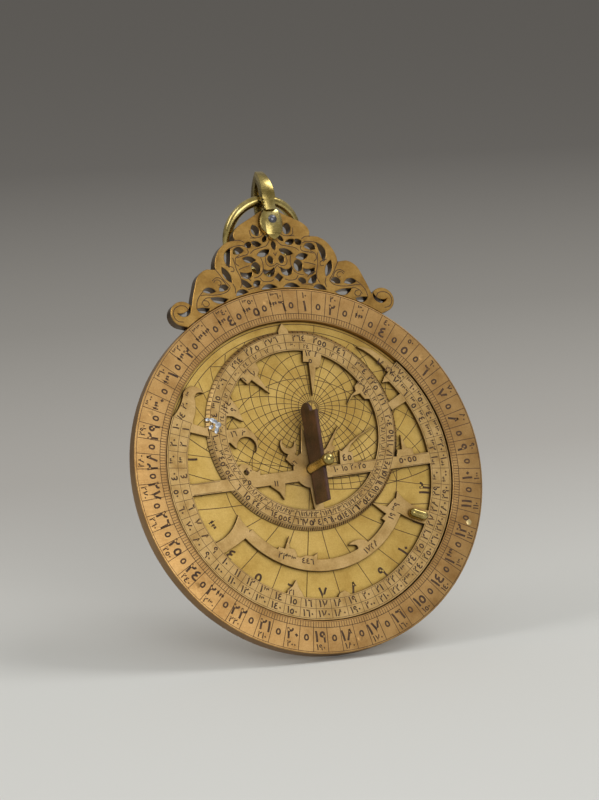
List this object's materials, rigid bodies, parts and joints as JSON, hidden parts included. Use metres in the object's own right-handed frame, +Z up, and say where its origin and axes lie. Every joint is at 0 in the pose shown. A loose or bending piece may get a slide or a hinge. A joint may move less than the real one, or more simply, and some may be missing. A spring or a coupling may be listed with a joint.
{
  "type": "astrolabe",
  "caption": "Brass planispheric astrolabe: disc with pierced throne, turning star map over a stack of plates, sighting bar at the back, wedge-locked pin, shackle and ring.",
  "frame": {"origin": "the pivot axis, at the front face of the limb", "axes": "+Z up through the throne to the suspension ring, -Y out of the front face, +X to the viewer's right"},
  "size_m": [0.156, 0.0407, 0.2088],
  "materials": {
    "limb_brass": "satin",
    "throne_brass": "satin",
    "plate_brass": "satin",
    "rete_brass": "satin",
    "rivet_brass": "satin",
    "polished_brass": "polished",
    "iron": "domed and dark",
    "dark_iron": "dark brown patina"
  },
  "bodies": {
    "mater": {"back_plate": "limb_brass", "limb_ring": "limb_brass", "limb_rivets": "rivet_brass", "plate_peg": "rivet_brass", "throne": "throne_brass", "plate_1": "plate_brass", "plate_2": "plate_brass", "plate_3": "plate_brass", "plate_4": "plate_brass"},
    "star_map": {"rete": "rete_brass", "rete_knob": "polished_brass"},
    "sighting_bar": {"alidade": "limb_brass", "vane_1": "limb_brass", "vane_2": "limb_brass", "vane_rivets": "rivet_brass"},
    "pin": {"pivot_pin": "polished_brass"},
    "wedge": {"wedge": "dark_iron"},
    "bail": {"shackle": "polished_brass", "shackle_pin": "iron"},
    "hanging_ring": {"suspension_ring": "polished_brass"}
  },
  "joints": [
    {"name": "rete_turn", "type": "hinge", "parent": "mater", "child": "star_map", "pos_m": [0, 0, 0], "axis": [0, -1, 0], "continuous": true},
    {"name": "alidade_turn", "type": "hinge", "parent": "mater", "child": "sighting_bar", "pos_m": [0, 0, 0], "axis": [0, -1, 0], "continuous": true},
    {"name": "pin_turn", "type": "hinge", "parent": "mater", "child": "pin", "pos_m": [0, 0, 0], "axis": [0, -1, 0], "continuous": true},
    {"name": "wedge_slide", "type": "slide", "parent": "pin", "child": "wedge", "axis": [0, 0, 1], "range_m": [0, 0.016]},
    {"name": "shackle_swing", "type": "hinge", "parent": "mater", "child": "bail", "pos_m": [0, 0, 0.1078], "axis": [0, -1, 0], "range_deg": [-8, 8]},
    {"name": "ring_swing", "type": "hinge", "parent": "bail", "child": "hanging_ring", "pos_m": [0, 0.0034, 0.1182], "axis": [1, 0, 0], "range_deg": [0, 285]}
  ]
}
